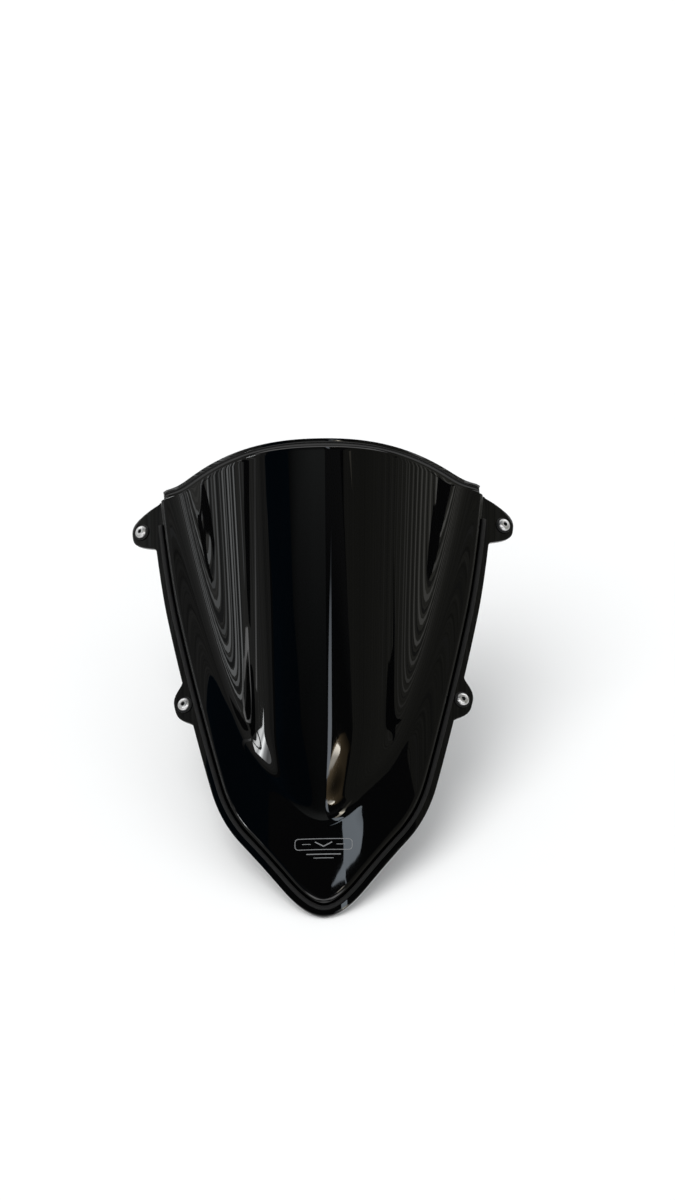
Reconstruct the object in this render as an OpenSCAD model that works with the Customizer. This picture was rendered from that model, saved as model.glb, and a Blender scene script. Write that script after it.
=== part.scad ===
// Bubble windshield screen for a motorcycle, with its four rubber-mounted fixings.
// The screen is drawn flat in (across, up the slope, out of the sheet) and then
// tilted to its attitude in use: X across, -Y to the front, +Z up.
// The origin is the centre of the pattern of four screws.

/* [Sheet] */
// Thickness of the acrylic sheet
sheet_t = 3; // [2:0.5:3.5]
// Angle between the sheet and the horizontal in use
slope = 33; // [20:1:50]
// Width of the raised panel between its top corners
panel_w = 240; // [230:1:250]
// Length of the raised panel from its tip to its top corners
panel_l = 326; // [310:1:340]
// Radius of the sideways curve of the sheet
curve_r = 230; // [200:5:400]
// Height of the middle of the top edge above its corners
top_bow = 4; // [0:0.5:10]

/* [Bubble] */
// Height of the bubble at the top edge
bubble_h = 44.5; // [30:0.5:50]
// Half width of the bubble at the top edge, between the middles of its fillets
bubble_w = 102.5; // [90:0.5:106]
// Distance from the tip to the prow where the bubble starts
bubble_start = 63; // [50:1:90]
// How much narrower its cross-section is at the prow than at the top
bubble_taper = 0.11; // [0:0.01:0.2]

/* [Rim] */
// Depth of the step from the raised panel down to the flange
step_drop = 3.3; // [2.5:0.1:4]
// Width of the flange, measured from the panel outline
flange_w = 9; // [8:0.5:11]
// Height of the flared lip along the top edge
lip_h = 3.2; // [3:0.1:6]
// Inside radius of the crease under the lip
lip_r = 3; // [2:0.25:3]
// Angle that the lip turns through
lip_turn = 85; // [60:1:90]
// Width of the rubber edge seal
seal_w = 3; // [2:0.1:3.2]
// Height of the rubber edge seal
seal_h = 2.2; // [1.5:0.1:3]

/* [Fixings] */
// Distance between the upper screws
upper_span = 271; // [264:1:278]
// Distance between the lower screws
lower_span = 202; // [198:1:208]
// Place of the upper screws up the slope from the tip
upper_up = 306; // [300:1:308]
// Place of the lower screws up the slope from the tip
lower_up = 160; // [140:1:180]
// Diameter of the holes in the tabs
tab_hole_d = 6; // [5.5:0.1:6.5]
// Material left round each hole to the edge of its tab
tab_margin = 8; // [6:0.5:10]
// Diameter of the screw shank
shank_d = 5; // [5:0.1:5.2]
// Length of the screw under its head
screw_l = 20; // [16:1:25]
// Diameter of the button head
head_d = 9.5; // [9:0.1:10]
// Height of the button head
head_h = 2.75; // [2.5:0.05:3]
// Width across flats of the hexagon socket
socket_w = 3; // [3:0.1:3.2]
// Outer diameter of the nylon washer
washer_d = 12; // [11:0.1:12]
// Thickness of the nylon washer
washer_t = 1; // [0.8:0.1:1.2]
// Diameter of the flange of the rubber well nut
nut_flange_d = 15; // [14:0.5:15]
// Thickness of the flange of the rubber well nut
nut_flange_t = 1.5; // [1:0.1:2]
// Diameter of the body of the rubber well nut
nut_body_d = 9.7; // [9.5:0.1:9.8]
// Length of the body of the rubber well nut
nut_body_l = 14; // [12:0.5:15]
// Outer diameter of the brass insert
insert_d = 7.5; // [7:0.1:8]
// Length of the brass insert
insert_l = 8; // [6:0.5:9]

/* [Hidden] */

$fn = 48;

// Driving polygon of the right half of the panel outline, as a quadratic spline
// for a panel 240 wide and 326 long: rounded tip, V sides, bend, long flanks.
OUTLINE = [[-9, 0], [9, 0], [39, 38], [66, 70], [79, 116], [99, 197], [113, 264], [127, 388]];
// Rows of facets along each stretch of the spline
ROWS = [5, 5, 6, 11, 13, 20];
// Facets across the panel, and rings across the step and the flange
ACROSS = 26;
STEP_RINGS = 5;
FLANGE_RINGS = 3;
BAND = STEP_RINGS + FLANGE_RINGS;
// Rows of facets round the crease of the lip
CREASE_ROWS = 3;
LIP_ROWS = CREASE_ROWS + 1;
// Outer and inner radius of the step, and how far inside the outline it starts
STEP_R_OUT = 3.6;
STEP_R_IN = 1;
STEP_SETBACK = 3;
// How far the rim runs past the top corners, where there is no lip
RIM_PAST = 0.8;
// Length of the taper at each end of the lip
LIP_FADE = 2.5;
// Stretch at the top over which the flange narrows round its corner
CORNER_R = 10;
// Half lengths of the upper and the lower tabs along the outline
UPPER_TAB_HALF = 18;
LOWER_TAB_HALF = 17;
// Powers of the bubble's cross-section at its prow and higher up, and where it has become full
PROW_POWER = 2;
CROWN_POWER = 2.7;
CROWN_FULL = 0.25;
// Softness of the fillet round its foot at the prow and at the top edge
PROW_FILLET = 0.4;
TOP_FILLET = 4;
// Gap between the seal and the step, and how far the seal stops below the corners
SEAL_GAP = 0.15;
SEAL_STOP = 14;
// Clearance of the shank in the washer and in the rubber
WASHER_BORE_D = 5.3;
RUBBER_BORE_D = 5.2;
// Hexagon socket depth, and the flat on top of the button head
SOCKET_DEPTH = 1.6;
HEAD_FLAT_D = 4.6;
// Chamfers on the screw end and on the well nut
SHANK_CHAMFER = 0.6;
NUT_CHAMFER = 0.5;
EPS = 0.01;

function unit(v) = v / norm(v);
function clamp01(t) = max(0, min(1, t));
function soft(t) = let(c = clamp01(t)) c * c * (3 - 2 * c);
function mix(a, b, t) = a + (b - a) * t;

// ---- Surface of the panel -------------------------------------------------

// The bubble is a straight ramp of one curved cross-section, which a fillet blends into the sweep
function crown(x, t) =
    let(half = bubble_w * (1 - bubble_taper * (1 - t)))
    bubble_h * (t - pow(abs(x) / half, mix(PROW_POWER, CROWN_POWER, soft(t / CROWN_FULL))));
function bubble(x, s) =
    let(t = (s - bubble_start) / (panel_l + top_bow - bubble_start),
        fillet = mix(PROW_FILLET, TOP_FILLET, clamp01(t)))
    fillet * ln(1 + exp(crown(x, t) / fillet));
function sweep_height(x) = -x * x / (2 * curve_r);
function height(x, s) = sweep_height(x) + bubble(x, s);
function sweep_normal(x) = unit([x / curve_r, 0, 1]);
function panel_normal(x, s) = unit([
    (height(x - EPS, s) - height(x + EPS, s)) / (2 * EPS),
    (height(x, s - EPS) - height(x, s + EPS)) / (2 * EPS),
    1
]);

// ---- Outline --------------------------------------------------------------

outline_ctrl = [for (c = OUTLINE) [c.x * panel_w / 240, c.y * panel_l / 326]];
function mid(k) = (outline_ctrl[k] + outline_ctrl[k + 1]) / 2;
function spline_at(k, t) =
    (1 - t) * (1 - t) * mid(k) + 2 * t * (1 - t) * outline_ctrl[k + 1] + t * t * mid(k + 1);
function spline_dir(k, t) =
    unit((1 - t) * (outline_ctrl[k + 1] - mid(k)) + t * (mid(k + 1) - outline_ctrl[k + 1]));
row_params = concat(
    [for (k = [0 : len(ROWS) - 1]) for (i = [0 : ROWS[k] - 1]) [k, i / ROWS[k]]],
    [[len(ROWS) - 1, 1]]
);
outline = [for (p = row_params) spline_at(p[0], p[1])];
outline_dir = [for (p = row_params) spline_dir(p[0], p[1])];
outline_out = [for (d = outline_dir) [d.y, -d.x]];
TOP = len(outline) - 1;

// Nearest place on the outline to a point: [place up the slope, distance outward]
function nearest_row(p, i = 0, best = 0) =
    i > TOP ? best :
    nearest_row(p, i + 1, norm(outline[i] - p) < norm(outline[best] - p) ? i : best);
function foot_of(p) =
    let(i = nearest_row(p), away = p - outline[i])
    [outline[i].y + (away * outline_dir[i]) * outline_dir[i].y, away * outline_out[i]];
upper_foot = foot_of([upper_span / 2, upper_up]);
lower_foot = foot_of([lower_span / 2, lower_up]);

// ---- Step and flange --------------------------------------------------------

step_angle = acos(1 - step_drop / (STEP_R_OUT + STEP_R_IN));
step_run = (STEP_R_OUT + STEP_R_IN) * sin(step_angle) - STEP_SETBACK;
// Rings of the step as [distance outside the outline, drop below the panel]
step_rings = [
    for (f = [0, 1 / 3, 2 / 3, 1])
        [STEP_R_OUT * sin(f * step_angle) - STEP_SETBACK, STEP_R_OUT * (1 - cos(f * step_angle))],
    for (f = [1 / 2, 0])
        [step_run - STEP_R_IN * sin(f * step_angle), step_drop - STEP_R_IN * (1 - cos(f * step_angle))]
];

function tab_bump(s, centre, half) = pow(1 - pow(min(1, abs(s - centre) / half), 3), 1.5);
function corner_round(s) = sqrt(1 - pow(clamp01((s - panel_l + CORNER_R) / CORNER_R), 2));
function flange_reach(s) =
    mix(step_run + 1, flange_w, corner_round(s))
    + (upper_foot[1] + tab_margin - flange_w) * tab_bump(s, upper_foot[0], UPPER_TAB_HALF)
    + (lower_foot[1] + tab_margin - flange_w) * tab_bump(s, lower_foot[0], LOWER_TAB_HALF);
function ring(b, s) =
    b <= STEP_RINGS ? step_rings[b] :
    [mix(step_run, flange_reach(s), (b - STEP_RINGS) / FLANGE_RINGS), step_drop];

// A point e outside the outline at row i, lifted by z off the swept sheet
function rim_point(i, e, z, side) =
    let(p = outline[i] + e * outline_out[i])
    [side * p.x, p.y, sweep_height(p.x)] + z * sweep_normal(side * p.x);
function band_point(i, b, side) =
    let(r = ring(b, outline[i].y))
    rim_point(i, r[0], -r[1], side);

// ---- Grid of points over the sheet -----------------------------------------

COLS = 2 * BAND + ACROSS;
ROWS_ALL = TOP + LIP_ROWS;
function across(j) = -1 + 2 * (j - BAND) / ACROSS;
function panel_point(i, u) =
    let(edge = outline[i] - STEP_SETBACK * outline_out[i],
        x = u * edge.x,
        s = edge.y + top_bow * (1 - u * u) * pow(edge.y / panel_l, 4))
    [x, s, height(x, s)];
function sheet_point(i, j) =
    j < BAND ? band_point(i, BAND - j, -1) :
    j > BAND + ACROSS ? band_point(i, j - BAND - ACROSS, 1) :
    panel_point(i, across(j));

// Lip profile as [run along the sheet, rise off the sheet]
lip_straight = (lip_h - lip_r * (1 - cos(lip_turn))) / sin(lip_turn);
lip_profile = concat(
    [for (l = [1 : CREASE_ROWS])
        let(a = lip_turn * l / CREASE_ROWS)
        [lip_r * sin(a), lip_r * (1 - cos(a))]],
    [[lip_r * sin(lip_turn) + lip_straight * cos(lip_turn), lip_h]]
);
lip_edge_x = (outline[TOP] - STEP_SETBACK * outline_out[TOP]).x;
function lip_fade(j) = soft((1 - abs(across(j))) * lip_edge_x / LIP_FADE);
function on_panel(j) = j > BAND && j < BAND + ACROSS;
function lip_frame(j) =
    let(p = sheet_point(TOP, j))
    on_panel(j) ?
        let(n = panel_normal(p.x, p.y),
            edge = sheet_point(TOP, j + 1) - sheet_point(TOP, j - 1))
        [unit(cross(n, edge)), n] :
        let(side = j <= BAND ? -1 : 1, d = outline_dir[TOP])
        [unit([side * d.x, d.y, -abs(p.x) / curve_r * d.x]), sweep_normal(p.x)];
function lip_point(l, j) =
    let(f = on_panel(j) ? lip_fade(j) : 0, frame = lip_frame(j), profile = lip_profile[l - 1])
    sheet_point(TOP, j)
    + frame[0] * (profile.x * f + RIM_PAST * (1 - f) * l / LIP_ROWS)
    + frame[1] * profile.y * f;

grid = [for (i = [0 : ROWS_ALL]) [for (j = [0 : COLS])
    i <= TOP ? sheet_point(i, j) : lip_point(i - TOP, j)]];

// Sheet normals from the neighbouring grid points; the tip row is one point wide
function tip_normal(b) =
    b == 0 ? [0, 0, 1] :
    unit(cross(band_point(0, min(b + 1, BAND), 1) - band_point(0, b - 1, 1), [1, 0, 0]));
function grid_normal(i, j) =
    i == 0 ? tip_normal(max(0, BAND - j, j - BAND - ACROSS)) :
    unit(cross(grid[i][min(j + 1, COLS)] - grid[i][max(j - 1, 0)],
               grid[min(i + 1, ROWS_ALL)][j] - grid[i - 1][j]));

// Point numbers: the tip row holds the tip and one shared point for each ring
TIP_POINTS = BAND + 1;
function point_id(i, j) =
    i == 0 ? max(0, BAND - j, j - BAND - ACROSS) :
    TIP_POINTS + (i - 1) * (COLS + 1) + j;
front_points = concat(
    [for (b = [0 : BAND]) grid[0][BAND + ACROSS + b]],
    [for (i = [1 : ROWS_ALL]) for (j = [0 : COLS]) grid[i][j]]
);
back_points = concat(
    [for (b = [0 : BAND]) grid[0][BAND + ACROSS + b] - sheet_t * tip_normal(b)],
    [for (i = [1 : ROWS_ALL]) for (j = [0 : COLS]) grid[i][j] - sheet_t * grid_normal(i, j)]
);
SHIFT = len(front_points);

// Two triangles for each cell, split the same way on both sides of the middle
function cell(i, j) =
    let(a = point_id(i, j), b = point_id(i, j + 1), c = point_id(i + 1, j + 1), d = point_id(i + 1, j))
    a == b ? [[a, d, c]] :
    j < COLS / 2 ? [[a, d, b], [b, d, c]] : [[a, d, c], [a, c, b]];
cells = [for (i = [0 : ROWS_ALL - 1]) for (j = [0 : COLS - 1]) each cell(i, j)];
rim = concat(
    [for (i = [0 : ROWS_ALL]) point_id(i, COLS)],
    [for (j = [COLS - 1 : -1 : 0]) point_id(ROWS_ALL, j)],
    [for (i = [ROWS_ALL - 1 : -1 : 1]) point_id(i, 0)]
);
rim_faces = [for (k = [0 : len(rim) - 1])
    let(a = rim[k], b = rim[(k + 1) % len(rim)])
    each [[a, b, b + SHIFT], [a, b + SHIFT, a + SHIFT]]];

// ---- Places ------------------------------------------------------------------

// Each place is [side, distance across, distance up the slope]; left is -X
UPPER_LEFT = [-1, upper_span / 2, upper_up];
UPPER_RIGHT = [1, upper_span / 2, upper_up];
LOWER_LEFT = [-1, lower_span / 2, lower_up];
LOWER_RIGHT = [1, lower_span / 2, lower_up];

// Centre of the four screw seats, which is the origin of the part
function seat(place) =
    [place[0] * place[1], place[2], sweep_height(place[1])]
    - step_drop * sweep_normal(place[0] * place[1]);
pattern_centre = (seat(UPPER_LEFT) + seat(UPPER_RIGHT) + seat(LOWER_LEFT) + seat(LOWER_RIGHT)) / 4;

// Tilts the sheet to its attitude in use, about the centre of the screws
module in_use() {
    rotate([slope, 0, 0])
        translate(-pattern_centre)
            children();
}

// Puts a fixing on its tab: its own +Z points out of the tab, and Z = 0 is the tab's face
module at_place(place) {
    in_use()
        translate(seat(place))
            rotate([0, place[0] * atan(place[1] / curve_r), 0])
                children();
}

// ---- Sub-parts ---------------------------------------------------------------

// Thermoformed sheet with bubble, step, flange, four tabs and flared lip
module screen() {
    color([0.05, 0.05, 0.06])
        difference() {
            in_use()
                polyhedron(
                    points = concat(front_points, back_points),
                    faces = concat(
                        cells,
                        [for (f = cells) [f[2] + SHIFT, f[1] + SHIFT, f[0] + SHIFT]],
                        rim_faces
                    )
                );
            for (place = [UPPER_LEFT, UPPER_RIGHT, LOWER_LEFT, LOWER_RIGHT])
                at_place(place)
                    translate([0, 0, -sheet_t - 2])
                        cylinder(d = tab_hole_d, h = sheet_t + 4);
        }
}

// Section of the edge seal as [distance outside the outline, height off the flange]
seal_in = step_run + SEAL_GAP;
seal_section = [
    [0, 0], [seal_w, 0], [seal_w, 0.6 * seal_h], [0.85 * seal_w, 0.9 * seal_h],
    [0.5 * seal_w, seal_h], [0.15 * seal_w, 0.9 * seal_h], [0, 0.6 * seal_h]
];
SEAL_SIDES = len(seal_section);
seal_rows = [for (i = [0 : TOP]) if (outline[i].y < panel_l - SEAL_STOP) i];
seal_stations = concat(
    [for (k = [len(seal_rows) - 1 : -1 : 1]) [seal_rows[k], -1]],
    [for (i = seal_rows) [i, 1]]
);
SEAL_LAST = len(seal_stations) - 1;

// Rubber strip that lies on the flange against the foot of the step
module edge_seal() {
    points = [for (st = seal_stations) for (c = seal_section)
        rim_point(st[0], seal_in + c[0], c[1] - step_drop + EPS, st[1])];
    walls = [for (k = [0 : SEAL_LAST - 1]) for (c = [0 : SEAL_SIDES - 1])
        let(a = k * SEAL_SIDES + c, b = k * SEAL_SIDES + (c + 1) % SEAL_SIDES)
        each [[a, b, b + SEAL_SIDES], [a, b + SEAL_SIDES, a + SEAL_SIDES]]];
    ends = [
        [for (c = [SEAL_SIDES - 1 : -1 : 0]) c],
        [for (c = [0 : SEAL_SIDES - 1]) SEAL_LAST * SEAL_SIDES + c]
    ];
    color([0.08, 0.08, 0.08])
        in_use()
            polyhedron(points = points, faces = concat(walls, ends));
}

// Button-head screw with a hexagon socket
module screw(place) {
    shank_r = shank_d / 2;
    // The dome is an arc through the edge of the head and the edge of its flat
    rise = head_h - 0.4;
    half_chord = (head_d - HEAD_FLAT_D) / 2;
    color([0.78, 0.79, 0.8])
        at_place(place)
            translate([0, 0, washer_t])
                difference() {
                    rotate_extrude()
                        polygon(concat(
                            [[0, -screw_l], [shank_r - SHANK_CHAMFER, -screw_l],
                             [shank_r, SHANK_CHAMFER - screw_l], [shank_r, 0],
                             [head_d / 2, 0], [head_d / 2, 0.4]],
                            [for (a = [15 : 15 : 90])
                                [HEAD_FLAT_D / 2 + half_chord * cos(a), 0.4 + rise * sin(a)]],
                            [[0, head_h]]
                        ));
                    translate([0, 0, head_h - SOCKET_DEPTH])
                        cylinder(d = socket_w / cos(30), h = SOCKET_DEPTH + 1, $fn = 6);
                }
}

// Nylon washer between the screw head and the tab
module washer(place) {
    color([0.1, 0.1, 0.1])
        at_place(place)
            difference() {
                cylinder(d = washer_d, h = washer_t);
                translate([0, 0, -1])
                    cylinder(d = WASHER_BORE_D, h = washer_t + 2);
            }
}

// Rubber well nut behind the tab: a flange, and a body that bulges when it is tightened
module well_nut(place) {
    total = nut_flange_t + nut_body_l;
    color([0.12, 0.12, 0.12])
        at_place(place)
            translate([0, 0, -sheet_t])
                difference() {
                    union() {
                        translate([0, 0, -nut_flange_t])
                            cylinder(d = nut_flange_d, h = nut_flange_t);
                        translate([0, 0, NUT_CHAMFER - total])
                            cylinder(d = nut_body_d, h = nut_body_l - NUT_CHAMFER + nut_flange_t / 2);
                        translate([0, 0, -total])
                            cylinder(d1 = nut_body_d - 2 * NUT_CHAMFER, d2 = nut_body_d, h = NUT_CHAMFER);
                    }
                    translate([0, 0, -total - 1])
                        cylinder(d = RUBBER_BORE_D, h = total + 2);
                    translate([0, 0, -total - 1])
                        cylinder(d = insert_d, h = insert_l + 1);
                }
}

// Threaded brass insert moulded into the far end of the well nut
module insert(place) {
    color([0.75, 0.6, 0.3])
        at_place(place)
            translate([0, 0, -sheet_t - nut_flange_t - nut_body_l])
                difference() {
                    cylinder(d = insert_d, h = insert_l);
                    translate([0, 0, -1])
                        cylinder(d = shank_d, h = insert_l + 2);
                }
}

screen();
edge_seal();
screw(UPPER_LEFT);  // upper_left_screw
washer(UPPER_LEFT);  // upper_left_washer
well_nut(UPPER_LEFT);  // upper_left_well_nut
insert(UPPER_LEFT);  // upper_left_insert
screw(UPPER_RIGHT);  // upper_right_screw
washer(UPPER_RIGHT);  // upper_right_washer
well_nut(UPPER_RIGHT);  // upper_right_well_nut
insert(UPPER_RIGHT);  // upper_right_insert
screw(LOWER_LEFT);  // lower_left_screw
washer(LOWER_LEFT);  // lower_left_washer
well_nut(LOWER_LEFT);  // lower_left_well_nut
insert(LOWER_LEFT);  // lower_left_insert
screw(LOWER_RIGHT);  // lower_right_screw
washer(LOWER_RIGHT);  // lower_right_washer
well_nut(LOWER_RIGHT);  // lower_right_well_nut
insert(LOWER_RIGHT);  // lower_right_insert
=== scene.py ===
"""Visual model of a bubble windshield screen with its edge seal and four rubber-mounted fixings."""

from math import acos, atan2, ceil, cos, dist, pi, radians, sin

import bmesh
import bpy
import numpy as np
from mathutils import Matrix, Vector


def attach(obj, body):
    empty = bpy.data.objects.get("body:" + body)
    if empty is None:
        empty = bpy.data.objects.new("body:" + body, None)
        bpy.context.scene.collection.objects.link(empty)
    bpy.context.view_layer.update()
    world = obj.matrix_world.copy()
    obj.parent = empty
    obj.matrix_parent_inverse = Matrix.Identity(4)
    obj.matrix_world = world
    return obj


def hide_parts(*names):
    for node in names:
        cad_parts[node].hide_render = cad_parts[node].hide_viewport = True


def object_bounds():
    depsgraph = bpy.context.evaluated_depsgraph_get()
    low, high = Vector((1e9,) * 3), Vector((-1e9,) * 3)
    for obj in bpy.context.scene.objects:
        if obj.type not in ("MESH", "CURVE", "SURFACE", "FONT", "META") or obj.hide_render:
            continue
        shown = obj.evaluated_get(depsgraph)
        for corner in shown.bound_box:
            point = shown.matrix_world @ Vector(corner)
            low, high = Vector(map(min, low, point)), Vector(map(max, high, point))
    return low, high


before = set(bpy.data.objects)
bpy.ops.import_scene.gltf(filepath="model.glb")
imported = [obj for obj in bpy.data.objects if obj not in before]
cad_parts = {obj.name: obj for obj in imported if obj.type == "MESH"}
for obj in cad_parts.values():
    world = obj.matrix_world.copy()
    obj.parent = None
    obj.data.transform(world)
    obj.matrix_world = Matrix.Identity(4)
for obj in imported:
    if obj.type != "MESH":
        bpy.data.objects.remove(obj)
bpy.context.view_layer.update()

# ---- Driving dimensions, in millimetres, as in the CAD model ----

MM = 0.001
SHEET_T = 3.0
SLOPE = radians(33)
PANEL_L = 326.0
CURVE_R = 230.0
TOP_BOW = 4.0

# Bubble: a ramp that is highest at the top edge, with a cross-section whose power grows up the slope
BUBBLE_H = 44.5
BUBBLE_W = 102.5
BUBBLE_START = 63.0
BUBBLE_TAPER = 0.11
PROW_POWER = 2.0
CROWN_POWER = 2.7
CROWN_FULL = 0.25
# Blend of the bubble into the sheet, at its start and at the top edge
PROW_FILLET = 0.4
TOP_FILLET = 4.0

# Driving polygon of the right half of the panel outline, a quadratic spline
OUTLINE = np.array([
    [-9, 0], [9, 0], [39, 38], [66, 70], [79, 116], [99, 197], [113, 264], [127, 388],
], float)

# Step round the panel, flange outside it, and lip along the top edge
STEP_DROP = 3.3
STEP_R_OUT = 3.6
STEP_R_IN = 1.0
STEP_SETBACK = 3.0
FLANGE_W = 9.0
CORNER_R = 10.0
LIP_H = 3.2
LIP_R = 3.0
LIP_TURN = radians(85)
LIP_FADE = 2.5
RIM_PAST = 0.8

SEAL_W = 3.0
SEAL_H = 2.2
SEAL_GAP = 0.15
SEAL_STOP = 17.0

# Fixing points in the sheet's own coordinates, and the tabs round them
UPPER_FIX = (135.5, 306.0)
LOWER_FIX = (101.0, 160.0)
UPPER_TAB_HALF = 18.0
LOWER_TAB_HALF = 17.0
TAB_MARGIN = 8.0
TAB_HOLE_D = 6.0
CORNERS = {
    "upper_left": (-1, UPPER_FIX),
    "upper_right": (1, UPPER_FIX),
    "lower_left": (-1, LOWER_FIX),
    "lower_right": (1, LOWER_FIX),
}

SHANK_D = 5.0
SCREW_L = 20.0
HEAD_D = 9.5
HEAD_H = 2.75
HEAD_EDGE = 0.4
HEAD_FLAT_D = 4.6
SOCKET_W = 3.0
SOCKET_DEPTH = 1.6
WASHER_D = 12.0
WASHER_T = 1.0
WASHER_BORE_D = 5.3
NUT_FLANGE_D = 15.0
NUT_FLANGE_T = 1.5
NUT_BODY_D = 9.7
NUT_BODY_L = 14.0
RUBBER_BORE_D = 5.2
INSERT_D = 7.5
INSERT_L = 8.0


# ---- Surface of the sheet: x across, s up the slope, h out of the sheet ----

def soft(t):
    c = np.clip(t, 0, 1)
    return c * c * (3 - 2 * c)


def bubble(x, s):
    """A straight ramp of one curved cross-section, which a fillet blends into the sweep."""
    t = (s - BUBBLE_START) / (PANEL_L + TOP_BOW - BUBBLE_START)
    half = BUBBLE_W * (1 - BUBBLE_TAPER * (1 - t))
    power = PROW_POWER + (CROWN_POWER - PROW_POWER) * soft(t / CROWN_FULL)
    crown = BUBBLE_H * (t - (np.abs(x) / half) ** power)
    fillet = PROW_FILLET + (TOP_FILLET - PROW_FILLET) * np.clip(t, 0, 1)
    return fillet * np.logaddexp(0, crown / fillet)


def sweep_height(x):
    return -x * x / (2 * CURVE_R)


def height(x, s):
    return sweep_height(x) + bubble(x, s)


def unit(v):
    return v / np.linalg.norm(v, axis=-1, keepdims=True)


def sweep_normal(x):
    x = np.asarray(x, float)
    return unit(np.stack([x / CURVE_R, 0 * x, 0 * x + 1], axis=-1))


def panel_normal(x, s, eps=0.01):
    slope_x = (height(x + eps, s) - height(x - eps, s)) / (2 * eps)
    slope_s = (height(x, s + eps) - height(x, s - eps)) / (2 * eps)
    return unit(np.stack([-slope_x, -slope_s, 0 * x + 1], axis=-1))


# ---- Outline ----

def spline(stretch, t):
    """Point and direction on one stretch of the outline."""
    a = (OUTLINE[stretch] + OUTLINE[stretch + 1]) / 2
    b = OUTLINE[stretch + 1]
    c = (OUTLINE[stretch + 1] + OUTLINE[stretch + 2]) / 2
    point = (1 - t) ** 2 * a + 2 * t * (1 - t) * b + t * t * c
    return point, unit((1 - t) * (b - a) + t * (c - b))


def outline_rows(per_stretch):
    """Points, directions and outward normals along the right half, from the tip to the top corner."""
    places = [(k, i / n) for k, n in enumerate(per_stretch) for i in range(n)]
    places.append((len(per_stretch) - 1, 1.0))
    rows = [spline(k, t) for k, t in places]
    points = np.array([r[0] for r in rows])
    along = np.array([r[1] for r in rows])
    return points, along, np.stack([along[:, 1], -along[:, 0]], axis=1)


def foot_of(fix, points, along, outward):
    """Where a fixing stands off the outline: place up the slope, and distance outward."""
    away = np.array(fix) - points
    i = int(np.argmin((away ** 2).sum(1)))
    return points[i, 1] + away[i] @ along[i] * along[i, 1], away[i] @ outward[i]


# ---- Placing ----

def seat(side, fix):
    x, s = fix
    return np.array([side * x, s, sweep_height(x)]) - STEP_DROP * sweep_normal(side * x)


PATTERN_CENTRE = sum(seat(side, fix) for side, fix in CORNERS.values()) / 4


def in_use(points):
    """Sheet coordinates in millimetres to the row's frame in metres."""
    x, s, h = np.moveaxis(np.asarray(points, float) - PATTERN_CENTRE, -1, 0)
    y = s * cos(SLOPE) - h * sin(SLOPE)
    z = s * sin(SLOPE) + h * cos(SLOPE)
    return np.stack([x, y, z], axis=-1) * MM


def place_matrix(corner):
    """Matrix that puts a fixing, modelled in metres with +Z out of its tab, on its seat."""
    side, fix = CORNERS[corner]
    normal = sweep_normal(side * fix[0])
    tilt = Matrix.Rotation(SLOPE, 4, "X") @ Matrix.Rotation(atan2(normal[0], normal[2]), 4, "Y")
    return Matrix.Translation(Vector(in_use(seat(side, fix)))) @ tilt


# ---- Mesh helpers ----

# Faces that meet at more than this angle keep a sharp edge
SHARP = radians(38)


def add_object(name, data):
    obj = bpy.data.objects.new(name, data)
    bpy.context.scene.collection.objects.link(obj)
    return obj


def new_object(name, verts, faces, smooth=True):
    mesh = bpy.data.meshes.new(name)
    mesh.from_pydata([tuple(v) for v in verts], [], [tuple(f) for f in faces])
    mesh.validate()
    if smooth:
        mesh.shade_smooth()
    return add_object(name, mesh)


def grid_faces(rows, cols, wrap=False):
    last = cols if wrap else cols - 1
    faces = []
    for i in range(rows - 1):
        for j in range(last):
            k = (j + 1) % cols
            faces.append((i * cols + j, i * cols + k, (i + 1) * cols + k, (i + 1) * cols + j))
    return faces


def apply_modifiers(obj):
    graph = bpy.context.evaluated_depsgraph_get()
    mesh = bpy.data.meshes.new_from_object(obj.evaluated_get(graph))
    old = obj.data
    obj.modifiers.clear()
    obj.data = mesh
    mesh.name = old.name
    bpy.data.meshes.remove(old)


def mend(obj, merge=None, dissolve=None):
    """Merges doubled points where a distance is given, and turns every face outward."""
    bm = bmesh.new()
    bm.from_mesh(obj.data)
    if merge:
        bmesh.ops.remove_doubles(bm, verts=bm.verts, dist=merge)
        bmesh.ops.dissolve_degenerate(bm, edges=bm.edges, dist=dissolve)
    bmesh.ops.recalc_face_normals(bm, faces=bm.faces)
    bm.to_mesh(obj.data)
    bm.free()


def shade(obj):
    obj.data.shade_smooth()
    obj.data.set_sharp_from_angle(angle=SHARP)


def cut_away(obj, tool):
    """Takes the space of a tool out of an object, and then the tool out of the scene."""
    cut = obj.modifiers.new("cut", "BOOLEAN")
    cut.operation = "DIFFERENCE"
    cut.solver = "EXACT"
    cut.object = tool
    apply_modifiers(obj)
    mesh = tool.data
    bpy.data.objects.remove(tool)
    bpy.data.meshes.remove(mesh)


def finish_piece(obj, material, slot, *nodes):
    """Gives a piece its material and its body, and hides the CAD nodes that it stands for. The slot is not
    used.
    """
    obj.data.materials.clear()
    obj.data.materials.append(material)
    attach(obj, "root")
    if nodes:
        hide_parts(*nodes)


# ---- Materials ----

def new_material(name, **sockets):
    material = bpy.data.materials.new(name)
    material.use_nodes = True
    shader = material.node_tree.nodes["Principled BSDF"]
    for label, value in sockets.items():
        shader.inputs[label.replace("_", " ")].default_value = value
    return material, material.node_tree, shader


def node(tree, kind, inputs=(), **attributes):
    """A new shader node, with its inputs set or linked."""
    made = tree.nodes.new("ShaderNode" + kind)
    for key, value in attributes.items():
        setattr(made, key, value)
    for key, value in dict(inputs).items():
        if hasattr(value, "is_output"):
            tree.links.new(value, made.inputs[key])
        else:
            made.inputs[key].default_value = value
    return made


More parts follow.
